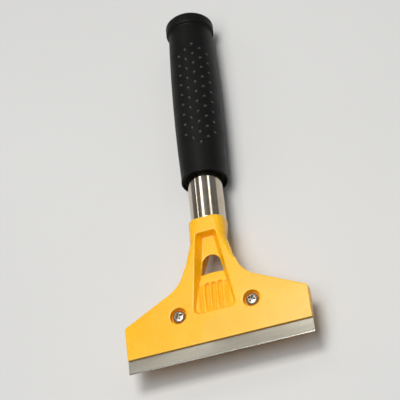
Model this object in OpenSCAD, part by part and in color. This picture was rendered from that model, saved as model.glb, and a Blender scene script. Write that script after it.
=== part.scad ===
// Floor scraper with a screwed clamp for a plain 100 mm blade.
// A moulded head holds the blade between its flat lip and a clamp plate underneath.
// A steel tube is pushed over the head's spigot, and a rubber sleeve covers the tube.
//
// Frame: X runs along the blade, +Y from the cutting edge to the butt, +Z out of the front face.
// The origin lies under the middle of the tool, level with the lowest nub of the sleeve.
// Each sub-part is drawn about the tube's axis with y = 0 at the cutting edge,
// and placed() moves it into the frame.

/* [Blade] */
// Length of the cutting edge
blade_w = 100; // [92:1:110]
// Depth of the blade from its cutting edge to its back edge
blade_depth = 18; // [17:0.5:18.5]
// Thickness of the blade
blade_t = 0.8; // [0.6:0.1:1]
// How far the blade stands out of the head
blade_out = 7.8; // [7:0.2:8.4]
// Length of the ground bevel at the cutting edge
bevel_len = 1.3; // [0.8:0.1:2]

/* [Head] */
// Distance from the cutting edge to the top of the head's straight sides
side_y = 25.8; // [24.6:0.2:26.6]
// Half width at which the shoulder lines would meet the neck
shoulder_x = 15.5; // [15:0.5:17]
// Distance from the cutting edge at which the shoulder lines would meet the neck
shoulder_y = 42.8; // [41.8:0.2:44]
// Radius that blends each shoulder into the neck
shoulder_r = 18; // [14:1:18]
// Distance from the cutting edge to the collar's end face
collar_y = 78.5; // [78:0.5:81]
// Width of the collar
collar_w = 20.2; // [20:0.2:22]
// Height of the front face above the tube's axis at the collar
collar_z = 10; // [9.9:0.1:10.5]
// Radius of the collar's front corners
collar_r = 6.5; // [5:0.5:7]
// Height of the front face above the tube's axis at the lip
lip_z = 4.0; // [3.8:0.1:4.4]
// Height of the blade's upper face above the tube's axis
seat_z = 2.6; // [2.4:0.1:2.8]

/* [Pocket and hanging hole] */
// Depth of the pocket below the front face
pocket_depth = 4.6; // [4:0.1:5]
// How far the pocket's floor is set in from its rim
pocket_inset = 2.3; // [1.5:0.1:2.5]
// Thickness of the wall under the pocket's floor
floor_t = 1.2; // [1.2:0.1:2]
// Radius of the arch of the hanging hole
arch_r = 5.1; // [4.5:0.1:5.2]
// Distance between the thumb ribs
rib_pitch = 3.5; // [3.2:0.1:3.6]
// Radius of the channels between the thumb ribs
channel_r = 1.5; // [1.3:0.1:1.6]

/* [Clamp] */
// Distance from the middle to each clamp screw
screw_x = 20; // [18:0.5:22]
// Distance from the cutting edge to the clamp screws
screw_y = 25.7; // [25.3:0.1:26.2]
// Diameter of the screw's thread
screw_d = 4; // [3:1:4]
// Diameter of the screw's pan head
screw_head_d = 7; // [6:0.1:7.4]
// Height of the screw's pan head
screw_head_h = 2.4; // [2:0.1:2.6]
// Diameter of the counterbore round each screw head
counterbore_d = 9; // [8.6:0.1:9.4]
// Length of the screw below its head
screw_len = 10; // [9:1:11]
// Width of the nut across its flats
nut_af = 7; // [6:0.5:7]
// Thickness of the nut
nut_t = 3.2; // [2.4:0.1:3.2]

/* [Handle] */
// Outside diameter of the tube
tube_d = 19; // [18.6:0.1:19.2]
// Wall thickness of the tube
tube_wall = 1.2; // [1:0.1:1.5]
// Length of the bare tube between the collar and the sleeve
bare_len = 27.9; // [24:0.1:32]
// Length of the spigot inside the tube
spigot_len = 20; // [16:1:24]
// Length of the rubber sleeve
grip_len = 110.5; // [110:0.5:114]
// Radius of the sleeve at its fullest place
grip_r = 13.5; // [13:0.1:13.5]
// Radius of the flange at the butt
flange_r = 13.7; // [13.6:0.1:13.9]
// Thickness of the flange at the butt
flange_t = 8; // [7:0.5:9]
// Height of the nubs above the sleeve
nub_h = 0.5; // [0.3:0.1:0.7]
// Diameter of a nub
nub_d = 2.2; // [1.8:0.1:2.4]

/* [Hidden] */
$fn = 64;

// Clearances: flat faces that slide, threads in their holes, and shanks in clearance holes
flat_gap = 0.05;
thread_gap = 0.05;
shank_gap = 0.25;
// Overlap that lets one cut run clear through another
past = 1;
// Thickness of the slices that a hull joins
slice = 0.05;

// Overall length, and the height of the tube's axis above the origin
overall_len = collar_y + bare_len + grip_len;
axis_z = grip_r + nub_h;

// Front face of the head, which rises from the lip to the collar
front_rise = (collar_z - lip_z) / (collar_y - blade_out);
front_angle = atan(front_rise);
function front_z(y) = lip_z + (y - blade_out) * front_rise;
// Distance along the sloping front face, measured from the lip
function along(y) = (y - blade_out) / cos(front_angle);

// Underside of the head
stop_y = blade_depth + 0.15;
jaw_z = -0.5;
jaw_end_y = 38.8;
ramp_foot_z = -4.5;
sole_y = 63.3;
sole_z = -9.8;

// The neck's sides lean inwards towards its back, and are drawn down to neck_back_z.
// Its front corners: distance from the cutting edge and radius, from the shoulders upwards
neck_lean = 20;
neck_back_z = -11;
jaw_back_half = 12;
neck_corners = [[52.3, 1.6], [66, 4.5]];
edge = 0.02;
function neck_half(y) =
    collar_w / 2 + (collar_y - y) / (collar_y - shoulder_y) * (shoulder_x - collar_w / 2);
function shoulder_half(y) =
    blade_w / 2 - (y - side_y) / (shoulder_y - side_y) * (blade_w / 2 - shoulder_x);

// Cavity moulded into the back of the neck
cavity_y = [43.8, 68.3];
cavity_half = [10, 3.8];
cavity_r = 1.5;

// Pocket rim: distance from the cutting edge and half width at each end
pocket_y = [24, 69.8];
pocket_half = [11.8, 5.7];
pocket_r = [3, 1.6];
// Hanging hole: sill, spring line of the arch, half width at the sill and rise of the sill
hole_y = [46.8, 52.7];
sill_half = 6.3;
sill_rise = 0.7;
// Thumb rest under the hole, which climbs from the sill to the foot of the pocket
rest_foot_depth = 1.3;
rest_steps = 10;
channel_y = [22.8, 40.5];
channel_depth = [0.5, 1.25];
outer_channel_depth = [0.3, 0.5];
rib_count = 4;

// Clamp plate
plate_inset = 0.8;
plate_front_y = 8.9;
plate_nose_z = -0.9;
plate_chamfer_y = 12.1;
plate_z = -3.2;
plate_end_y = 37.5;
plate_step_y = blade_depth - 0.1;
boss_d = 11.6;
// The tool lies on its bosses and its sleeve, so they reach past the screws' ends
boss_z = -8.6;
nut_web = 1.85;

// Stiffening ribs under the clamp plate: two cross rows, and columns that join them
stiffener_w = 1.3;
stiffener_z = -4.5;
stiffener_rows = [14.9, 34.5];
stiffener_row_len = [88, 44];
stiffener_columns = [-38, -29, -10, 0, 10, 29, 38];
outer_column_x = 30;
outer_column_len = 10;

// Screws
seat_depth = 0.3;
screw_seat_z = front_z(screw_y) - seat_depth - screw_head_h;
cross_w = 0.95;
cross_len = 4.2;
cross_depth = 0.62;
screw_dome = 0.45;
tap_screw_y = 94.3;
tap_head_d = 5.6;
tap_head_h = 1.1;
tap_d = 2.9;
tap_len = 5;
tap_cross = 0.75;

// Handle
tube_r = tube_d / 2;
bore_r = tube_r - tube_wall;
grip_y = collar_y + bare_len;
tube_end_y = overall_len - flange_t;
spigot_r = bore_r - thread_gap;
spigot_bore_r = 4.5;
spigot_chamfer = 0.8;

// Nubs on the sleeve: a patch of columns in front and one behind, and the spacing along it
nub_turn = 18;
patch_turns = [nub_turn, nub_turn + 180];
side_columns = 2;
nub_pitch = 6.83;
nub_rows = 11;
nub_first_y = grip_y + 18;
nub_root = 0.8;

// The sleeve's outline bulges to its fullest place, in bands that end between two rows of nubs
band_len = nub_pitch / 2;
full_y = nub_first_y + 4.5 * nub_pitch;
bulge = 0.00042;
band_first = -4;
band_last = 22;
function grip_radius(y) = grip_r - bulge * pow(y - full_y, 2);
mouth_r = 12.9;
mouth_len = 3;
mouth_round = 1;
mouth_ring = [10.4, 11.7];
mouth_ring_depth = 1.4;
neck_r = 12.4;
butt_round = 3;

// ---------- Helpers ----------

// Moves a sub-part from the tube's axis into the frame
module placed() {
    translate([0, -overall_len / 2, axis_z]) children();
}

// Draws with z = 0 on the sloping front face and y measured along it from the lip
module on_front() {
    translate([0, blade_out, lip_z]) rotate([front_angle, 0, 0]) children();
}

// Extrudes a side view, drawn as (y, z), to the given width
module along_x(width) {
    rotate([90, 0, 90]) linear_extrude(width, center = true) children();
}

// Turns an outline drawn as (radius, y) about the tube's axis
module about_axis() {
    rotate([-90, 0, 0]) rotate_extrude($fn = 96) children();
}

// Points of the arc that rounds corner b, between a and c, with radius r
function corner_arc(a, b, c, r, steps = 12) =
    let (
        u = (a - b) / norm(a - b),
        v = (c - b) / norm(c - b),
        half = acos(u * v) / 2,
        centre = b + (u + v) / norm(u + v) * r / sin(half),
        first = b + u * r / tan(half) - centre,
        last = b + v * r / tan(half) - centre,
        a0 = atan2(first[1], first[0]),
        sweep = (atan2(last[1], last[0]) - a0 + 540) % 360 - 180
    )
    [for (i = [0:steps]) centre + r * [cos(a0 + sweep * i / steps), sin(a0 + sweep * i / steps)]];

// A right half outline followed by its mirror image
function both_sides(right) =
    concat(right, [for (i = [len(right) - 1:-1:0]) [-right[i][0], right[i][1]]]);

// A symmetric trapezoid with rounded corners: y, half width and corner radius at each end
module tapered_slot(y, half, r) {
    low = [half[0], y[0]];
    high = [half[1], y[1]];
    polygon(both_sides(concat(
        corner_arc([0, y[0]], low, high, r[0]),
        corner_arc(low, high, [0, y[1]], r[1]))));
}

// ---------- Head ----------

// Plan view of the head: straight sides, sloping shoulders and a tapering neck
module head_outline() {
    side_r = 0.8;
    foot = [blade_w / 2, blade_out];
    side = [blade_w / 2, side_y];
    shoulder = [shoulder_x, shoulder_y];
    collar = [collar_w / 2, collar_y];
    polygon(both_sides(concat(
        [foot],
        corner_arc(foot, side, shoulder, side_r),
        corner_arc(side, shoulder, collar, shoulder_r, 20),
        [collar])));
}

// Side view of the head: lip over the blade seat, stop, jaw over the clamp plate and deep neck
module head_profile() {
    polygon([
        [blade_out, seat_z], [blade_out, lip_z],
        [collar_y, collar_z], [collar_y, sole_z],
        [sole_y, sole_z], [jaw_end_y, ramp_foot_z],
        [jaw_end_y, jaw_z], [stop_y, jaw_z], [stop_y, seat_z]]);
}

// A thin slice across the neck, drawn as (x, z)
module across(y) {
    translate([0, y, 0]) rotate([90, 0, 0]) linear_extrude(slice) children();
}

// The collar is flat in front and round behind, like the tube
module collar_slice() {
    half = collar_w / 2 + edge;
    across(collar_y + slice)
        hull() {
            circle(half, $fn = 32);
            for (s = [-1, 1])
                translate([s * (half - collar_r), collar_z + edge - collar_r]) circle(collar_r, $fn = 32);
        }
}

module neck_slice(corner) {
    y = corner[0];
    top = front_z(y) + edge;
    half = neck_half(y) + 2 * edge;
    back = [half - (top - neck_back_z) * tan(neck_lean), neck_back_z];
    across(y)
        polygon(both_sides(concat(corner_arc([0, top], [half, top], back, corner[1]), [back])));
}

module jaw_slice() {
    half = shoulder_half(jaw_end_y) + 2 * edge;
    across(jaw_end_y)
        polygon(both_sides([
            [half, front_z(jaw_end_y) + edge], [half, jaw_z], [jaw_back_half, neck_back_z]]));
}

// Room that the head may fill: the neck's sides lean inwards, and it grows round at the collar
module neck_room() {
    hull() {
        collar_slice();
        neck_slice(neck_corners[1]);
    }
    hull() {
        neck_slice(neck_corners[1]);
        neck_slice(neck_corners[0]);
    }
    hull() {
        neck_slice(neck_corners[0]);
        jaw_slice();
    }
    translate([-blade_w, 0, -blade_w / 2]) cube([2 * blade_w, jaw_end_y, blade_w]);
}

module pocket_room() {
    floor_y = [pocket_y[0] + pocket_inset / 2, pocket_y[1] - pocket_inset / 2];
    rim = [for (y = pocket_y) along(y)];
    low = [for (y = floor_y) along(y)];
    floor_half = [for (h = pocket_half) h - pocket_inset];
    floor_r = [pocket_r[0], pocket_r[1] - 0.4];
    hull() {
        linear_extrude(slice) tapered_slot(rim, pocket_half, pocket_r);
        translate([0, 0, -pocket_depth]) linear_extrude(slice) tapered_slot(low, floor_half, floor_r);
    }
    linear_extrude(past) tapered_slot(rim, pocket_half, pocket_r);
}

// Depth of the thumb rest below the front face: shallow at the foot and falling away to the sill
function rest_depth(t) = rest_foot_depth + (pocket_depth - rest_foot_depth) * pow(t, 1.6);

module thumb_rest() {
    foot = along(pocket_y[0] - past);
    sill = along(hole_y[0] + sill_rise);
    along_x(2 * pocket_half[0] + past)
        polygon(concat(
            [[foot, -pocket_depth - past]],
            [for (i = [0:rest_steps]) [foot + (sill - foot) * i / rest_steps, -rest_depth(i / rest_steps)]],
            [[sill, -pocket_depth - past]]));
}

// Round-bottomed channel between thumb ribs, with a round upper end
module channel(x, depth) {
    foot = along(channel_y[0]);
    head = along(channel_y[1]);
    share = (head - foot) / (along(hole_y[0]) - foot);
    foot_z = channel_r - depth[0] - rest_foot_depth;
    head_z = channel_r - depth[1] - rest_depth(share);
    reach = norm([head - foot, head_z - foot_z]);
    translate([x, head, head_z]) {
        sphere(channel_r);
        rotate([90 + atan2(head_z - foot_z, head - foot), 0, 0]) cylinder(r = channel_r, h = reach);
    }
}

module channels() {
    inner = rib_count / 2 - 1;
    for (i = [-inner:inner])
        channel(i * rib_pitch, channel_depth);
    for (s = [-1, 1])
        channel(s * (inner + 1) * rib_pitch, outer_channel_depth);
}

module hanging_hole() {
    sill = along(hole_y[0]);
    spring = along(hole_y[1]);
    arch_steps = 16;
    sill_steps = 8;
    linear_extrude(2 * (pocket_depth + floor_t + past), center = true)
        polygon(concat(
            [for (i = [0:sill_steps])
                let (t = 2 * i / sill_steps - 1) [t * sill_half, sill + sill_rise * (1 - t * t)]],
            [for (i = [0:arch_steps])
                let (a = 180 * i / arch_steps) [arch_r * cos(a), spring + arch_r * sin(a)]]));
}

// Space moulded out of the back of the neck, up to the wall under the pocket's floor
module neck_cavity() {
    depth = pocket_depth + floor_t;
    intersection() {
        translate([0, 0, -2 * collar_z])
            linear_extrude(4 * collar_z) tapered_slot(cavity_y, cavity_half, [cavity_r, cavity_r]);
        on_front()
            translate([-blade_w / 2, 0, -depth - 3 * collar_z]) cube([blade_w, collar_y, 3 * collar_z]);
    }
}

module spigot() {
    end = collar_y + spigot_len;
    about_axis()
        polygon([
            [spigot_bore_r, collar_y - past], [spigot_r, collar_y - past],
            [spigot_r, end - spigot_chamfer], [spigot_r - spigot_chamfer, end], [spigot_bore_r, end]]);
}

module at_screws() {
    for (s = [-1, 1])
        translate([s * screw_x, screw_y, 0]) children();
}

module head_body() {
    color([1, 0.72, 0.16])
        placed()
            difference() {
                union() {
                    intersection() {
                        translate([0, 0, -blade_w / 2]) linear_extrude(blade_w) head_outline();
                        along_x(2 * blade_w) head_profile();
                        neck_room();
                    }
                    spigot();
                }
                on_front()
                    difference() {
                        pocket_room();
                        difference() {
                            thumb_rest();
                            channels();
                        }
                    }
                on_front() hanging_hole();
                neck_cavity();
                at_screws() translate([0, 0, screw_seat_z]) cylinder(d = counterbore_d, h = blade_w);
                at_screws() translate([0, 0, jaw_z - past]) cylinder(d = screw_d + 2 * shank_gap, h = blade_w);
                translate([0, tap_screw_y, -tube_r]) cylinder(d = tap_d + 2 * thread_gap, h = tube_r);
            }
}

// ---------- Clamp ----------

module plate_outline() {
    half = blade_w / 2 - plate_inset;
    slope = (shoulder_y - side_y) / (blade_w / 2 - shoulder_x);
    side = [half, side_y - plate_inset / 2];
    back = [half - (plate_end_y - side[1]) / slope, plate_end_y];
    foot = [half, plate_front_y];
    polygon(both_sides(concat(
        corner_arc([0, plate_front_y], foot, side, 1),
        corner_arc(foot, side, back, 1.6),
        corner_arc(side, back, [0, plate_end_y], 3))));
}

module plate_profile() {
    grip_z = seat_z - blade_t - 2 * flat_gap;
    polygon([
        [plate_front_y, grip_z], [plate_front_y, plate_nose_z], [plate_chamfer_y, plate_z],
        [plate_end_y, plate_z], [plate_end_y, jaw_z - flat_gap],
        [plate_step_y, jaw_z - flat_gap], [plate_step_y, grip_z]]);
}

// Ribs along the underside of the clamp plate
module stiffeners() {
    height = plate_z - stiffener_z;
    column_len = stiffener_rows[1] - stiffener_rows[0];
    for (i = [0, 1])
        translate([-stiffener_row_len[i] / 2, stiffener_rows[i], stiffener_z])
            cube([stiffener_row_len[i], stiffener_w, height]);
    for (x = stiffener_columns)
        translate([x - stiffener_w / 2, stiffener_rows[0], stiffener_z])
            cube([stiffener_w, abs(x) > outer_column_x ? outer_column_len : column_len, height]);
}

module clamp_plate() {
    nut_z = jaw_z - nut_web;
    color([1, 0.72, 0.16])
        placed()
            difference() {
                union() {
                    intersection() {
                        translate([0, 0, -blade_w / 2]) linear_extrude(blade_w) plate_outline();
                        along_x(2 * blade_w) plate_profile();
                    }
                    at_screws() translate([0, 0, boss_z]) cylinder(d = boss_d, h = plate_z - boss_z);
                    stiffeners();
                }
                at_screws() translate([0, 0, boss_z - past]) cylinder(d = screw_d + 2 * shank_gap, h = blade_w);
                at_screws() translate([0, 0, nut_z - blade_w])
                    rotate(30) cylinder(d = (nut_af + 2 * flat_gap) / cos(30), h = blade_w, $fn = 6);
            }
}

// Flat blade with its bevel ground on the underside
module blade() {
    top = seat_z - flat_gap;
    edge_t = 0.06;
    color([0.72, 0.72, 0.68])
        placed()
            along_x(blade_w)
                polygon([
                    [0, top], [0, top - edge_t], [bevel_len, top - blade_t],
                    [blade_depth, top - blade_t], [blade_depth, top]]);
}

// Pan head screw with a cross recess, drawn with its seat at z = 0 and its shank downwards
module pan_screw(head_d, head_h, shank_d, shank_len, cross_t, cross_l) {
    dome = screw_dome * head_h;
    recess = cross_depth * head_h;
    steps = 8;
    difference() {
        union() {
            rotate_extrude()
                polygon(concat(
                    [[0, 0], [head_d / 2, 0]],
                    [for (i = [0:steps])
                        let (a = 90 * i / steps)
                        [head_d / 2 - dome * (1 - cos(a)), head_h - dome * (1 - sin(a))]],
                    [[0, head_h]]));
            translate([0, 0, -shank_len]) cylinder(d = shank_d, h = shank_len + head_h / 2);
        }
        for (turn = [45, 135])
            rotate(turn)
                translate([-cross_l / 2, -cross_t / 2, head_h - recess])
                    cube([cross_l, cross_t, recess + past]);
    }
}

module clamp_screw(side) {
    color([0.75, 0.75, 0.74])
        placed()
            translate([side * screw_x, screw_y, screw_seat_z])
                pan_screw(screw_head_d, screw_head_h, screw_d, screw_len, cross_w, cross_len);
}

module clamp_screw_left() {
    clamp_screw(-1);
}

module clamp_screw_right() {
    clamp_screw(1);
}

module clamp_nut(side) {
    color([0.75, 0.75, 0.74])
        placed()
            translate([side * screw_x, screw_y, jaw_z - nut_web - flat_gap - nut_t])
                difference() {
                    rotate(30) cylinder(d = nut_af / cos(30), h = nut_t, $fn = 6);
                    translate([0, 0, -past]) cylinder(d = screw_d + 2 * thread_gap, h = nut_t + 2 * past);
                }
}

module clamp_nut_left() {
    clamp_nut(-1);
}

module clamp_nut_right() {
    clamp_nut(1);
}

// ---------- Handle ----------

module handle_tube() {
    color([0.82, 0.82, 0.8])
        placed()
            difference() {
                about_axis()
                    polygon([
                        [bore_r, collar_y], [tube_r, collar_y],
                        [tube_r, tube_end_y - flat_gap], [bore_r, tube_end_y - flat_gap]]);
                translate([0, tap_screw_y, -tube_r - past])
                    cylinder(d = tap_d + 2 * shank_gap, h = tube_r + past);
            }
}

// Self-tapping screw that pins the tube to the spigot from underneath
module tube_screw() {
    color([0.75, 0.75, 0.74])
        placed()
            translate([0, tap_screw_y, -tube_r - flat_gap])
                mirror([0, 0, 1])
                    pan_screw(tap_head_d, tap_head_h, tap_d, tap_len, tap_cross, tap_head_d / 2);
}

// Outline of the sleeve from its mouth to the butt, with the bore for the tube
module grip_profile() {
    rim_y = overall_len - flange_t;
    polygon(concat(
        [[tube_r, tube_end_y], [tube_r, grip_y], [mouth_ring[0], grip_y],
         [mouth_ring[0], grip_y + mouth_ring_depth], [mouth_ring[1], grip_y + mouth_ring_depth],
         [mouth_ring[1], grip_y], [mouth_r - mouth_round, grip_y], [mouth_r, grip_y + mouth_round],
         [mouth_r - 0.1, grip_y + mouth_len]],
        [for (k = [band_first:band_last])
            let (y = nub_first_y + (k - 0.5) * band_len) [grip_radius(y), y]],
        [[neck_r, rim_y - 1], [flange_r - 0.3, rim_y - 0.2], [flange_r, rim_y + 0.3]],
        [for (a = [0:15:90])
            [flange_r - butt_round * (1 - cos(a)), overall_len - butt_round * (1 - sin(a))]],
        [[0, overall_len], [0, tube_end_y]]));
}

// One nub, standing on the sleeve at the given turn and distance along it
module nub(turn, y) {
    top = grip_radius(y) + nub_h;
    rotate([0, turn, 0])
        translate([0, y, top - nub_h - nub_root])
            cylinder(d = nub_d, h = nub_h + nub_root, $fn = 24);
}

// A patch of nubs in which each column away from the middle one is a nub shorter
module nub_patch(middle_turn) {
    for (column = [-side_columns:side_columns]) {
        shorter = abs(column);
        for (row = [0:nub_rows - 1 - shorter])
            nub(middle_turn + column * nub_turn, nub_first_y + (row + shorter / 2) * nub_pitch);
    }
}

module grip_sleeve() {
    color([0.13, 0.12, 0.12])
        placed()
            union() {
                about_axis() grip_profile();
                for (turn = patch_turns)
                    nub_patch(turn);
            }
}

head_body();
clamp_plate();
blade();
clamp_screw_left();
clamp_screw_right();
clamp_nut_left();
clamp_nut_right();
handle_tube();
tube_screw();
grip_sleeve();
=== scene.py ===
"""Looks of the floor scraper: smooth moulded head, ground blade, zinc screws, polished tube and
nubbed rubber sleeve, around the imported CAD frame. Lengths are in metres unless a name says mm."""

import math

import bmesh
import bpy
import numpy as np
from mathutils import Matrix, Vector


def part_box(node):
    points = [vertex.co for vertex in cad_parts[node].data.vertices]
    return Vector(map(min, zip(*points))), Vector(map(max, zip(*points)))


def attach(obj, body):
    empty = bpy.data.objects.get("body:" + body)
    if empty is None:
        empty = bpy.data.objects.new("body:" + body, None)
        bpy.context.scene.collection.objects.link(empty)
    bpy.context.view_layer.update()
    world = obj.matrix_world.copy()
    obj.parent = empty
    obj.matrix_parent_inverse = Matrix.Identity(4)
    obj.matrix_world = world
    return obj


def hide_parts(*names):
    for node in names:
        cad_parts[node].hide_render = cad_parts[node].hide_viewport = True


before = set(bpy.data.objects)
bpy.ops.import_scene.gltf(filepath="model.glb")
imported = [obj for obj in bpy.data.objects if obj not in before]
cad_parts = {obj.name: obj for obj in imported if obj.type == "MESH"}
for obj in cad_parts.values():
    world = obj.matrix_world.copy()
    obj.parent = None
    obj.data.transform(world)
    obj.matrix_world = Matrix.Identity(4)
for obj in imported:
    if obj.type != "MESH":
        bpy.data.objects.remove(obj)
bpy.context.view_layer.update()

MM = 0.001
scene = bpy.context.scene


# ---------- Mesh helpers ----------

def mark_sharp(obj, degrees):
    """Smooth shading, with the edges that turn further than this left crisp."""
    mesh = obj.data
    mesh.shade_smooth()
    bm = bmesh.new()
    bm.from_mesh(mesh)
    limit = math.radians(degrees)
    for edge in bm.edges:
        edge.smooth = len(edge.link_faces) == 2 and edge.calc_face_angle(0) < limit
    bm.to_mesh(mesh)
    bm.free()


def new_piece(name, verts, faces, body, material, node, sharp):
    """A mesh piece that rides on a body and stands for the CAD node."""
    mesh = bpy.data.meshes.new(name)
    mesh.from_pydata([tuple(v) for v in verts], [], faces)
    mesh.validate()
    bm = bmesh.new()
    bm.from_mesh(mesh)
    bmesh.ops.recalc_face_normals(bm, faces=bm.faces)
    bm.to_mesh(mesh)
    bm.free()
    obj = bpy.data.objects.new(name, mesh)
    scene.collection.objects.link(obj)
    mesh.materials.append(material)
    mark_sharp(obj, sharp)
    return placed_piece(obj, body, node)


def placed_piece(obj, body, node):
    """Tells the frame which body moves the piece and the node it stands for."""
    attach(obj, body)
    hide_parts(node)
    return obj


def middle(low, high):
    """The centre of a box."""
    return (low + high) / 2


def ring_faces(rings, count, closed=False):
    """Quads between successive rings of count points each."""
    faces = []
    last = rings if closed else rings - 1
    for i in range(last):
        a = i * count
        b = (i + 1) % rings * count
        for j in range(count):
            k = (j + 1) % count
            faces.append((a + j, a + k, b + k, b + j))
    return faces


def lathe(profile, count):
    """Turns a closed run of (radius, height) points about the Z axis into a ring-shaped solid."""
    angle = np.linspace(0, 2 * np.pi, count, endpoint=False)
    verts = [(r * math.cos(a), r * math.sin(a), h) for r, h in profile for a in angle]
    return np.array(verts), ring_faces(len(profile), count, closed=True)


def along_tube(verts, axis_z):
    """Moves a shape turned about Z onto the tube's axis, with its height along +Y."""
    return np.column_stack([verts[:, 0], verts[:, 2], axis_z - verts[:, 1]])


def rounded(points, radius, steps=5):
    """Rounds the corners of an open run of points, all but its two ends."""
    longest_cut = 0.45
    points = [np.array(p, float) for p in points]
    out = [points[0]]
    for a, b, c in zip(points, points[1:], points[2:]):
        u = (a - b) / np.linalg.norm(a - b)
        v = (c - b) / np.linalg.norm(c - b)
        shorter = min(np.linalg.norm(a - b), np.linalg.norm(c - b))
        cut = min(radius, longest_cut * shorter)
        for t in np.linspace(0, 1, steps + 1):
            out.append(b + u * cut * (1 - t) ** 2 + v * cut * t ** 2)
    out.append(points[-1])
    return [tuple(p) for p in out]


# ---------- Material helpers ----------

class Shader:
    """A Principled material whose colour, roughness and relief come from procedural nodes."""

    def __init__(self, name, **fixed):
        self.material = bpy.data.materials.new(name)
        self.material.use_nodes = True
        self.tree = self.material.node_tree
        self.main = self.tree.nodes["Principled BSDF"]
        for socket, value in fixed.items():
            self.main.inputs[socket.replace("_", " ")].default_value = value
        self.place = self.tree.nodes.new("ShaderNodeTexCoord").outputs["Object"]

    def node(self, kind):
        return self.tree.nodes.new("ShaderNode" + kind)

    def link(self, source, target):
        self.tree.links.new(source, target)

    def noise(self, scale, detail=2.0, stretch=(1, 1, 1), rough=0.5):
        """A noise value from 0 to 1, with scale in cycles a metre."""
        mapping = self.node("Mapping")
        mapping.inputs["Scale"].default_value = stretch
        self.link(self.place, mapping.inputs["Vector"])
        noise = self.node("TexNoise")
        noise.inputs["Scale"].default_value = scale
        noise.inputs["Detail"].default_value = detail
        noise.inputs["Roughness"].default_value = rough
        self.link(mapping.outputs["Vector"], noise.inputs["Vector"])
        return noise.outputs["Fac"]

    def spread(self, value, low, high, to_low=0.0, to_high=1.0):
        """Maps low..high to to_low..to_high, and clamps."""
        node = self.node("MapRange")
        for socket, number in zip(("From Min", "From Max", "To Min", "To Max"),
                                  (low, high, to_low, to_high)):
            node.inputs[socket].default_value = number
        self.link(value, node.inputs["Value"])
        return node.outputs["Result"]

    def maths(self, operation, a, b):
        """A sum, difference or product of two values, either of which may be a plain number."""
        node = self.node("Math")
        node.operation = operation
        for socket, value in zip(node.inputs, (a, b)):
            if isinstance(value, (int, float)):
                socket.default_value = value
            else:
                self.link(value, socket)
        return node.outputs["Value"]

    def mix(self, factor, a, b):
        """Colour a where the factor is 0 and b where it is 1."""
        node = self.node("Mix")
        node.data_type = "RGBA"
        self.link(factor, node.inputs[0])
        for socket, value in ((node.inputs[6], a), (node.inputs[7], b)):
            if isinstance(value, tuple):
                socket.default_value = (*value, 1)
            else:
                self.link(value, socket)
        return node.outputs[2]

    def edges(self, low, high):
        """Pointiness mapped from low..high to 0..1: above 0.5 on outer edges, below it in hollows."""
        return self.spread(self.node("NewGeometry").outputs["Pointiness"], low, high)

    def axis(self, name):
        """The X, Y or Z coordinate in metres."""
        split = self.node("SeparateXYZ")
        self.link(self.place, split.inputs["Vector"])
        return split.outputs[name]

    def colour(self, value):
        self.link(value, self.main.inputs["Base Color"])

    def roughness(self, value):
        self.link(value, self.main.inputs["Roughness"])

    def relief(self, *layers):
        """Adds (height, depth_mm) layers of bump, coarse first."""
        normal = None
        for height, depth_mm in layers:
            bump = self.node("Bump")
            bump.inputs["Strength"].default_value = 1.0
            bump.inputs["Distance"].default_value = depth_mm * MM
            self.link(height, bump.inputs["Height"])
            if normal:
                self.link(normal, bump.inputs["Normal"])
            normal = bump.outputs["Normal"]
        self.link(normal, self.main.inputs["Normal"])


def moulded_plastic():
    """Translucent amber plastic, edges paler from wear and a painted highlight, a painted deeper
    shade in hollows.
    """
    amber, light_amber, flow_amber = (1.0, 0.48, 0.003), (1.0, 0.53, 0.006), (1.0, 0.58, 0.015)
    wear_and_highlight_yellow, painted_shade_orange = (1.0, 0.78, 0.20), (1.0, 0.30, 0.001)
    s = Shader("head_plastic", Subsurface_Weight=0.3, Subsurface_Scale=2.5 * MM,
               Specular_IOR_Level=0.55)
    s.main.inputs["Subsurface Radius"].default_value = (1.0, 0.45, 0.08)
    mottle = s.spread(s.noise(45, 3), 0.3, 0.7)
    flow = s.spread(s.noise(120, 3, (1, 0.6, 1)), 0.35, 0.75)
    base = s.mix(mottle, amber, light_amber)
    base = s.mix(s.maths("MULTIPLY", flow, 0.2), base, flow_amber)
    edge, patches = s.edges(0.515, 0.56), s.spread(s.noise(300, 3), 0.30, 0.55, 0.4, 1.0)
    # Partly wear, partly a painted highlight: outer edges and rib crests turn a paler yellow.
    wear_and_highlight = s.maths("MULTIPLY", edge, patches)
    base = s.mix(s.maths("MULTIPLY", wear_and_highlight, 0.5), base, wear_and_highlight_yellow)
    # Painted shade: hollows are coloured a deeper orange, as if shaded.
    painted_shade = s.maths("MULTIPLY", s.edges(0.497, 0.475), 0.8)
    s.colour(s.mix(painted_shade, base, painted_shade_orange))
    scuffs = s.spread(s.noise(420, 5), 0.58, 0.8)
    satin = s.spread(s.noise(70, 3), 0.3, 0.7, 0.24, 0.30)
    s.roughness(s.maths("ADD", satin, s.maths("MULTIPLY", scuffs, 0.12)))
    s.relief((s.noise(90, 2), 0.06), (s.noise(2600, 2), 0.006), (scuffs, 0.004))
    return s.material


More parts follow.
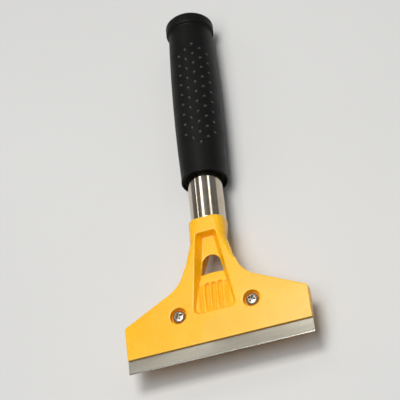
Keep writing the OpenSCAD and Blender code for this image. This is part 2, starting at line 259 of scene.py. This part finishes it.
def ground_steel(edge_y):
    """Steel ground along the blade, with faint stains and a brighter hone beside the edge, partly a
    painted highlight.
    """
    dark_line, light_line, hone_and_highlight_steel = (0.26, 0.245, 0.2), (0.38, 0.365, 0.32), (0.42, 0.41, 0.37)
    film, rust = (0.26, 0.23, 0.18), (0.24, 0.18, 0.12)
    hone_end, hone_full = edge_y + 0.8 * MM, edge_y + 0.6 * MM
    s = Shader("blade_steel", Metallic=1.0, Anisotropic=0.35)
    lines = s.noise(900, 4, (0.06, 6, 1), 0.7)
    fine = s.noise(2200, 3, (0.05, 3, 1), 0.6)
    cloud = s.spread(s.noise(55, 4), 0.3, 0.75)
    base = s.mix(s.spread(lines, 0.3, 0.7), dark_line, light_line)
    base = s.mix(s.maths("MULTIPLY", cloud, 0.4), base, film)
    stain = s.spread(s.noise(240, 5), 0.62, 0.78)
    base = s.mix(s.maths("MULTIPLY", stain, 0.5), base, rust)
    # Partly fresh metal from the hone, partly a painted highlight: a lighter, smoother band along the
    # edge.
    hone_and_highlight = s.spread(s.axis("Y"), hone_end, hone_full)
    s.colour(s.mix(hone_and_highlight, base, hone_and_highlight_steel))
    s.roughness(s.maths("SUBTRACT", s.spread(lines, 0.3, 0.7, 0.28, 0.36),
                        s.maths("MULTIPLY", hone_and_highlight, 0.1)))
    s.relief((lines, 0.004), (fine, 0.002))
    return s.material


def bright_zinc():
    """Zinc plate with duller patches and painted shade in the recesses."""
    dull, bright, recess_shade_colour = (0.44, 0.40, 0.33), (0.60, 0.56, 0.49), (0.20, 0.18, 0.15)
    s = Shader("fastener_zinc", Metallic=1.0)
    patch = s.spread(s.noise(700, 4), 0.35, 0.7)
    base = s.mix(patch, dull, bright)
    # Painted shade: recesses are coloured darker, as if shaded.
    recess_painted_shade = s.edges(0.48, 0.40)
    s.colour(s.mix(s.maths("MULTIPLY", recess_painted_shade, 0.7), base, recess_shade_colour))
    s.roughness(s.spread(s.noise(1500, 3), 0.3, 0.7, 0.24, 0.38))
    s.relief((s.noise(1800, 3), 0.008))
    return s.material


def polished_tube():
    """Bright tube with drawn lines along it, a painted reflection of warm surroundings as a tint that
    is browner in clouds, and smears from hands.
    """
    # Painted reflection: the warm tint of these colours stands in for warm surroundings seen in the
    # tube.
    dark_line, light_line, painted_reflection_brown = (0.58, 0.49, 0.38), (0.75, 0.70, 0.61), (0.46, 0.36, 0.24)
    s = Shader("tube_chrome", Metallic=1.0)
    drawn = s.noise(700, 4, (1, 0.03, 1), 0.6)
    cloud = s.spread(s.noise(60, 3), 0.3, 0.7)
    base = s.mix(s.spread(drawn, 0.35, 0.65), dark_line, light_line)
    # Painted reflection: clouds where the tint is browner.
    s.colour(s.mix(s.maths("MULTIPLY", cloud, 0.5), base, painted_reflection_brown))
    smear = s.spread(s.noise(130, 4), 0.45, 0.8)
    s.roughness(s.maths("ADD", s.spread(drawn, 0.3, 0.7, 0.10, 0.17),
                        s.maths("MULTIPLY", smear, 0.1)))
    s.relief((s.noise(70, 2, (1, 0.3, 1)), 0.03), (drawn, 0.004))
    return s.material


def black_rubber():
    """Black rubber with a painted highlight on the nub tips, which the mesh marks, a few specks and
    rubbed edges.
    """
    black, soft_black = (0.0035, 0.0032, 0.003), (0.006, 0.0056, 0.0052)
    rubbed_black = (0.02, 0.0195, 0.019)
    nub_highlight_grey, speck_grey = (0.085, 0.082, 0.078), (0.04, 0.039, 0.038)
    s = Shader("grip_rubber", Specular_IOR_Level=0.17)
    cloud = s.spread(s.noise(80, 4), 0.3, 0.7)
    base = s.mix(cloud, black, soft_black)
    rubbed = s.maths("MULTIPLY", s.edges(0.515, 0.56), s.spread(s.noise(500, 3), 0.35, 0.6))
    base = s.mix(s.maths("MULTIPLY", rubbed, 0.5), base, rubbed_black)
    # Painted highlight: the nub tips, as the mesh's nub attribute marks them, are coloured a paler
    # grey.
    nub_height = s.node("Attribute")
    nub_height.attribute_name = "nub"
    tip = s.maths("MULTIPLY", s.spread(nub_height.outputs["Fac"], 0.35, 0.9),
                  s.spread(s.noise(330, 3), 0.25, 0.6, 0.45, 1.0))
    base = s.mix(tip, base, nub_highlight_grey)
    specks = s.spread(s.noise(1700, 2), 0.68, 0.74)
    s.colour(s.mix(s.maths("MULTIPLY", specks, 0.25), base, speck_grey))
    s.roughness(s.spread(s.noise(120, 4), 0.3, 0.7, 0.46, 0.56))
    s.relief((s.noise(150, 2), 0.04), (s.noise(3000, 3), 0.014))
    return s.material


def pale_floor():
    """Matt off-white paper."""
    paper, light_paper = (0.66, 0.66, 0.65), (0.70, 0.70, 0.69)
    s = Shader("floor_paper")
    s.colour(s.mix(s.spread(s.noise(3, 3), 0.3, 0.7), paper, light_paper))
    s.roughness(s.spread(s.noise(8, 2), 0.3, 0.7, 0.75, 0.9))
    s.relief((s.noise(600, 3), 0.03))
    return s.material


# ---------- Head and clamp plate ----------

def moulded(node, name, body, material, voxel, passes):
    """A copy of a CAD node, remeshed in voxels of this size, with its edges softened to small
    mould radii by the smoothing passes."""
    smoothing, kept_faces = 0.5, 0.4
    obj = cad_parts[node].copy()
    obj.data = obj.data.copy()
    obj.name = name
    obj.data.name = name
    obj.parent = None
    # The node's own properties stay with the node.
    for key in list(obj.keys()):
        del obj[key]
    scene.collection.objects.link(obj)
    remesh = obj.modifiers.new("remesh", "REMESH")
    remesh.mode = "VOXEL"
    remesh.voxel_size = voxel
    smooth = obj.modifiers.new("smooth", "SMOOTH")
    smooth.factor = smoothing
    smooth.iterations = passes
    thin = obj.modifiers.new("thin", "DECIMATE")
    thin.ratio = kept_faces
    depsgraph = bpy.context.evaluated_depsgraph_get()
    mesh = bpy.data.meshes.new_from_object(obj.evaluated_get(depsgraph))
    obj.modifiers.clear()
    obj.data = mesh
    mesh.materials.clear()
    mesh.materials.append(material)
    mesh.shade_smooth()
    return placed_piece(obj, body, node)


# ---------- Blade ----------

def ground_blade(material):
    """Blade with a bevel ground underneath, a hone on top of its edge, a chamfered back and
    slightly clipped corners."""
    low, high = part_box("blade")
    chamfer, corner = 0.08 * MM, 0.5 * MM
    hone, hone_drop, hone_sag = 0.3 * MM, 0.03 * MM, 0.006 * MM
    bevel_width, tip_thickness = 1.3 * MM, 0.06 * MM
    bottom, top = low.z, high.z
    edge = [(low.y, top - hone_drop), (low.y + hone, top - hone_sag), (low.y + 2 * hone, top)]
    back = [(high.y - chamfer, top), (high.y, top - chamfer),
            (high.y, bottom + chamfer), (high.y - chamfer, bottom)]
    bevel = [(low.y + bevel_width, bottom), (low.y, top - hone_drop - tip_thickness)]
    profile = np.array(edge + back + bevel)

    clip_depth, middle_stations = 0.6, 40
    clips = [(0, 1), (0.3, 0.3), (1, 0)]
    stations = [(low.x + along * corner, pull * corner) for along, pull in clips]
    straight = np.linspace(low.x + 2 * corner, high.x - 2 * corner, middle_stations)
    stations += [(x, 0) for x in straight]
    stations += [(high.x - along * corner, pull * corner) for along, pull in reversed(clips)]
    verts = []
    for x, pull in stations:
        for y, z in profile:
            share = min(1.0, (y - low.y) / (high.y - low.y))
            verts.append((x, y + pull * (1 - 2 * share) * clip_depth, z))
    count = len(profile)
    faces = ring_faces(len(stations), count)
    last = (len(stations) - 1) * count
    faces += [tuple(range(count)), tuple(range(last, last + count))]
    return new_piece("blade_ground", verts, faces, "blade", material, "blade", 12)


# ---------- Screws and nuts ----------

def turned(x, y, degrees):
    """A point as seen from axes that are turned by so many degrees."""
    c, s = math.cos(math.radians(degrees)), math.sin(math.radians(degrees))
    return c * x + s * y, c * y - s * x


def cross_recess(x, y, reach, width, depth):
    """Depth of a cross recess with tapering arms at a point of the screw's head."""
    wall_share, floor_rise = 0.22, 2.6
    deepest = 0.0
    for u, v in ((x, y), (y, x)):
        side = min(1.0, max(0.0, (width / 2 - abs(v)) / (wall_share * width)))
        end = min(1.0, max(0.0, (1 - abs(u) / reach) * floor_rise))
        deepest = max(deepest, side * end)
    return depth * deepest


def screw_head(radius, height, reach, width, depth, turn):
    """Pan head with a cross recess: rings from the middle out, over the rim and under the head."""
    count, dome_rings = 128, 44
    dome = 0.62 * height
    rim = ((radius, 0.25 * height), (radius, 0.06 * height), (radius - 0.12 * MM, 0),
           (0.35 * radius, 0))
    angles = np.linspace(0, 2 * np.pi, count, endpoint=False)
    verts = [(0, 0, height - depth)]
    for i in range(dome_rings):
        r = radius * math.sin((i + 1) / dome_rings * math.pi / 2) ** 0.8
        crown = height - dome * (1 - math.sqrt(max(0.0, 1 - (r / radius) ** 4)))
        for a in angles:
            x, y = r * math.cos(a), r * math.sin(a)
            sunk = cross_recess(*turned(x, y, turn), reach, width, depth)
            verts.append((x, y, crown - sunk))
    for r, z in rim:
        verts += [(r * math.cos(a), r * math.sin(a), z) for a in angles]
    rings = dome_rings + len(rim)
    faces = [tuple(i + 1 for i in face) for face in ring_faces(rings, count)]
    faces += [(0, 1 + j, 1 + (j + 1) % count) for j in range(count)]
    start = 1 + (rings - 1) * count
    faces.append(tuple(range(start, start + count)))
    return verts, faces


def threaded_shank(radius, length, pitch, plain, tip):
    """Shank from z = 0 down, with a helical thread below a plain length and a chamfered tip."""
    count, rows_a_turn = 40, 9
    thread_share, core_share = 0.61, 0.3
    rows = int(length / pitch * rows_a_turn)
    verts = []
    for i in range(rows + 1):
        z = -length * i / rows
        for j in range(count):
            phase = (z / pitch - j / count) % 1.0
            groove = thread_share * pitch * (1 - abs(2 * phase - 1)) ** 1.1
            fade = min(1.0, max(0.0, (-z - plain) / pitch))
            chamfer = max(0.0, tip - (z + length))
            r = max(core_share * radius, radius - groove * fade - chamfer)
            a = 2 * math.pi * j / count
            verts.append((r * math.cos(a), r * math.sin(a), z))
    faces = ring_faces(rows + 1, count)
    faces += [tuple(range(count)), tuple(range(rows * count, (rows + 1) * count))]
    return verts, faces


def joined(*parts):
    """One list of points and faces from several."""
    verts, faces = [], []
    for part_verts, part_faces in parts:
        faces += [tuple(i + len(verts) for i in face) for face in part_faces]
        verts += [tuple(v) for v in part_verts]
    return np.array(verts), faces


def clamp_screw(node, name, body, turn, material):
    """M4 screw that stands head up, with its cross turned by so many degrees."""
    low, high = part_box(node)
    centre = middle(low, high)
    head_h = 2.4 * MM
    seat = high.z - head_h
    recess_reach, recess_width, recess_depth = 2.15 * MM, 1.15 * MM, 1.45 * MM
    shank_r, pitch, plain, tip = 2 * MM, 0.7 * MM, 1.2 * MM, 0.5 * MM
    verts, faces = joined(
        screw_head(high.x - centre.x, head_h, recess_reach, recess_width, recess_depth, turn),
        threaded_shank(shank_r, seat - low.z, pitch, plain, tip))
    verts += np.array([centre.x, centre.y, seat])
    return new_piece(name, verts, faces, body, material, node, 35)


def tube_pin(material):
    """Self-tapping screw that stands head down, under the tube."""
    low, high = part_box("tube_screw")
    centre = middle(low, high)
    head_h = 1.1 * MM
    recess_reach, recess_width, recess_depth, turn = 1.7 * MM, 0.85 * MM, 0.75 * MM, 20
    shank_r, pitch, plain, tip = 1.45 * MM, 1.0 * MM, 0.8 * MM, 0.8 * MM
    verts, faces = joined(
        screw_head(high.x - centre.x, head_h, recess_reach, recess_width, recess_depth, turn),
        threaded_shank(shank_r, high.z - low.z - head_h, pitch, plain, tip))
    verts *= np.array([1, -1, -1])
    verts += np.array([centre.x, centre.y, low.z + head_h])
    return new_piece("tube_pin_screw", verts, faces, "handle", material,
                     "tube_screw", 35)


def clamp_nut(node, name, material):
    """Hexagon nut with turned corners and a chamfered bore."""
    low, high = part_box(node)
    centre = middle(low, high)
    height = high.z - low.z
    apothem = 3.5 * MM
    bore, mouth, face_r = 2.06 * MM, 2.35 * MM, 3.3 * MM
    corner_slope = math.tan(math.radians(30))
    count = 144
    rings = []
    for face_z, inward in ((0, 1), (height, -1)):
        for r in (bore, mouth, face_r, None):
            ring = []
            for j in range(count):
                a = 2 * math.pi * j / count
                hexagon = apothem / math.cos((a + math.pi / 6) % (math.pi / 3) - math.pi / 6)
                reach = r or hexagon
                lift = max(0.0, (reach - face_r) * corner_slope)
                lift = mouth - bore if r == bore else lift
                ring.append((reach * math.cos(a), reach * math.sin(a), face_z + inward * lift))
            rings.append(ring)
    # Out along the lower face, then back in along the upper one.
    order = rings[:4] + rings[:3:-1]
    verts = np.array([v for ring in order for v in ring])
    verts += np.array([centre.x, centre.y, low.z])
    faces = ring_faces(len(order), count, closed=True)
    return new_piece(name, verts, faces, "clamp", material, node, 25)


# ---------- Tube and sleeve ----------

NUB_FIRST, NUB_PITCH = 18 * MM, 6.83 * MM
NUB_R, NUB_H = 1.35 * MM, 0.5 * MM
GRIP_R = 13.5 * MM


def steel_tube(material):
    """Tube with its front end rounded inside and out."""
    low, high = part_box("handle_tube")
    centre = middle(low, high)
    radius, wall = high.x - centre.x, 1.2 * MM
    bore = radius - wall
    end_gap, lip = 0.02 * MM, 0.35 * MM
    start, end = low.y + end_gap, high.y - end_gap
    profile = [(bore, end), (bore, start + lip)]
    profile += [(bore + lip * (1 - math.cos(t)), start + lip * (1 - math.sin(t)))
                for t in np.linspace(0, math.pi / 2, 5)]
    profile += [(radius - lip * (1 - math.sin(t)), start + lip * (1 - math.cos(t)))
                for t in np.linspace(0, math.pi / 2, 6)]
    profile += [(radius, y) for y in np.linspace(start + 1.5 * lip, end - lip, 24)]
    profile += [(radius - lip, end)]
    verts, faces = lathe(profile, 256)
    return new_piece("tube_polished", along_tube(verts, centre.z), faces, "handle",
                     material, "handle_tube", 50)


def nub_places(grip_y):
    """Nub centres as (turn in degrees, y), in a patch of five columns in front and one behind.
    Each column away from the middle one is a nub shorter."""
    column_turn, side_columns, rows = 18, 2, 11
    places = []
    for patch_turn in (column_turn, column_turn + 180):
        for column in range(-side_columns, side_columns + 1):
            for row in range(rows - abs(column)):
                places.append((patch_turn + column * column_turn,
                               grip_y + NUB_FIRST + (row + abs(column) / 2) * NUB_PITCH))
    return places


def sleeve_profile(grip_y, butt_y, tube_r, nub_start, nub_end):
    """The sleeve's (radius, y) points, from inside its mouth and over the grip to the butt. The
    stretch with the nubs has the closest points."""
    flange_y, flange_r = butt_y - 8 * MM, 13.7 * MM
    bore_r = tube_r + 0.03 * MM
    # The grip is fullest among the nubs, and thins with the square of the distance from there.
    full_y, taper = grip_y + NUB_FIRST + 4.5 * NUB_PITCH, 0.42

    def body_point(y):
        return GRIP_R - taper * (y - full_y) ** 2, y

    ring_mm = ((10.3, 0.35), (10.6, 1.5), (11.5, 1.5), (11.8, 0), (12.85, 0.1))
    mouth = [(bore_r, grip_y + 12 * MM), (bore_r, grip_y + 1.2 * MM)]
    mouth += [(r * MM, grip_y + y * MM) for r, y in ring_mm]
    mouth.append(body_point(grip_y + 3 * MM))
    plain = [body_point(y) for y in np.linspace(grip_y + 4 * MM, nub_start, 16)]
    dotted = [body_point(y) for y in np.arange(nub_start, nub_end, 0.24 * MM)][1:]
    neck = [body_point(y) for y in np.linspace(nub_end, flange_y - 1.6 * MM, 10)]
    flange = [body_point(flange_y - 1.2 * MM), (12.45 * MM, flange_y - 0.35 * MM),
              (flange_r, flange_y + 0.25 * MM), (flange_r, butt_y - 2.2 * MM),
              (11.9 * MM, butt_y - 0.35 * MM), (9.6 * MM, butt_y)]
    dish_mm = ((8.6, 0), (8.3, 0.15), (8.0, 0.35), (7.6, 0.42), (5.0, 0.45), (2.5, 0.46))
    butt = [(r * MM, butt_y - depth * MM) for r, depth in dish_mm]
    return rounded(mouth, 0.5 * MM) + plain + dotted + neck + rounded(flange, 0.9 * MM, 6) + butt


def nub_heights(rings_y, angles, places):
    """How far each point of the sleeve is up a nub, from 0 to 1."""
    nub = np.zeros((len(rings_y), len(angles)))
    for turn, y in places:
        off = (angles - math.radians(turn) + np.pi) % (2 * np.pi) - np.pi
        for i in np.where(abs(rings_y - y) < NUB_R)[0]:
            far = np.hypot(off * GRIP_R, rings_y[i] - y) / NUB_R
            rise = np.clip(1 - far, 0, 1)
            nub[i] += (rise * rise * (3 - 2 * rise)) ** 0.8
    return nub


def rubber_sleeve(material):
    """Nubbed sleeve. The point attribute "nub" is 1 on the nubs' tips."""
    low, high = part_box("grip_sleeve")
    tube_low, tube_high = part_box("handle_tube")
    tube_centre = middle(tube_low, tube_high)
    axis_z = tube_centre.z
    places = nub_places(low.y)
    nub_margin = 2 * MM
    profile = sleeve_profile(low.y, high.y, tube_high.x - tube_centre.x,
                             min(y for _, y in places) - nub_margin,
                             max(y for _, y in places) + nub_margin)
    count = 400
    angles = np.linspace(0, 2 * np.pi, count, endpoint=False)
    rings_y = np.array([y for _, y in profile])
    nub = nub_heights(rings_y, angles, places)
    radius = np.array([r for r, _ in profile])[:, None] + NUB_H * nub
    verts = np.stack([radius * np.sin(angles), np.repeat(rings_y[:, None], count, 1),
                      axis_z + radius * np.cos(angles)], 2).reshape(-1, 3)
    verts = np.vstack([verts, [(0, rings_y[-1], axis_z)]])
    faces = ring_faces(len(profile), count)
    start, tip = (len(profile) - 1) * count, len(verts) - 1
    faces += [(start + j, start + (j + 1) % count, tip) for j in range(count)]
    faces.append(tuple(range(count)))
    obj = new_piece("sleeve_rubber", verts, faces, "handle", material,
                    "grip_sleeve", 60)
    tips = obj.data.attributes.new("nub", "FLOAT", "POINT")
    tips.data.foreach_set("value", np.append(nub.ravel(), 0.0))
    return obj


# ---------- Camera, floor and light ----------

def aim(obj, place, direction, up):
    """Puts a camera or light at a place and points it in a direction."""
    back = -Vector(direction).normalized()
    right = Vector(up).cross(back).normalized()
    turn = Matrix((right, back.cross(right), back)).transposed()
    obj.matrix_world = Matrix.Translation(place) @ turn.to_4x4()


def add_camera():
    """A long lens high in front of the blade and to the right, with the handle pointing away."""
    place, direction = (0.2059, -0.48575, 0.7088), (-0.2420, 0.5462, -0.8019)
    up = (0.2510, 0.8336, 0.4920)
    data = bpy.data.cameras.new("camera")
    data.sensor_width = 36.0
    data.lens = 144.0
    camera = bpy.data.objects.new("camera", data)
    scene.collection.objects.link(camera)
    aim(camera, Vector(place), direction, up)
    scene.camera = camera


def add_floor():
    """A square of paper, a hair below the part."""
    half, drop = 2.5, 0.1 * MM
    mesh = bpy.data.meshes.new("floor")
    mesh.from_pydata([(-half, -half, 0), (half, -half, 0), (half, half, 0), (-half, half, 0)],
                     [], [(0, 1, 2, 3)])
    floor = bpy.data.objects.new("floor", mesh)
    floor.location.z = -drop
    scene.collection.objects.link(floor)
    mesh.materials.append(pale_floor())


def add_world():
    """Dim, slightly blue light from all round, and colours shown as they are."""
    world = bpy.data.worlds.new("studio")
    world.use_nodes = True
    backdrop = world.node_tree.nodes["Background"]
    backdrop.inputs["Color"].default_value = (0.92, 0.95, 1.0, 1)
    backdrop.inputs["Strength"].default_value = 0.18
    scene.world = world
    scene.view_settings.view_transform = "Standard"


def area_light(name, target, direction, distance, size, power, colour):
    """A rectangular light, at a distance from its target in a direction and turned towards it."""
    data = bpy.data.lights.new(name, "AREA")
    data.shape = "RECTANGLE"
    data.size, data.size_y = size
    data.energy = power
    data.color = colour
    obj = bpy.data.objects.new(name, data)
    scene.collection.objects.link(obj)
    way = Vector(direction).normalized()
    aim(obj, Vector(target) + way * distance, -way, (0, 1, 0.001))


def add_lights():
    """The key light glares on the right half of the head's front, each streak light gives the
    tube one bright line, and the overhead light fills the shadows."""
    head, tube, ground = (0, -0.08, 0.02), (0, 0, 0.02), (0, 0, 0)
    area_light("key", head, (0, 0.15, 0.85), 0.86, (0.30, 0.26), 3.6, (1.0, 0.98, 0.95))
    area_light("streak_left", tube, (-0.65, 0.557, 0.517), 1.0, (0.04, 0.25), 0.16,
               (1.0, 0.97, 0.92))
    area_light("streak_middle", tube, (-0.194, 0.557, 0.807), 1.0, (0.20, 0.25), 0.50,
               (1.0, 0.98, 0.95))
    area_light("streak_right", tube, (0.528, 0.557, 0.64), 1.0, (0.13, 0.25), 0.30,
               (1.0, 0.98, 0.93))
    area_light("overhead", ground, (-0.10, -0.25, 1.0), 1.4, (0.9, 0.9), 8.5, (1, 1, 1))


plastic = moulded_plastic()
zinc = bright_zinc()
blade_low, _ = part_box("blade")
moulded("head_body", "head_moulding", "handle", plastic, 0.28 * MM, 5)
moulded("clamp_plate", "clamp_moulding", "clamp", plastic, 0.30 * MM, 4)
ground_blade(ground_steel(blade_low.y))
clamp_screw("clamp_screw_left", "screw_left", "left_screw", 20, zinc)
clamp_screw("clamp_screw_right", "screw_right", "right_screw", 62, zinc)
clamp_nut("clamp_nut_left", "nut_left", zinc)
clamp_nut("clamp_nut_right", "nut_right", zinc)
tube_pin(zinc)
steel_tube(polished_tube())
rubber_sleeve(black_rubber())
add_camera()
add_floor()
add_world()
add_lights()
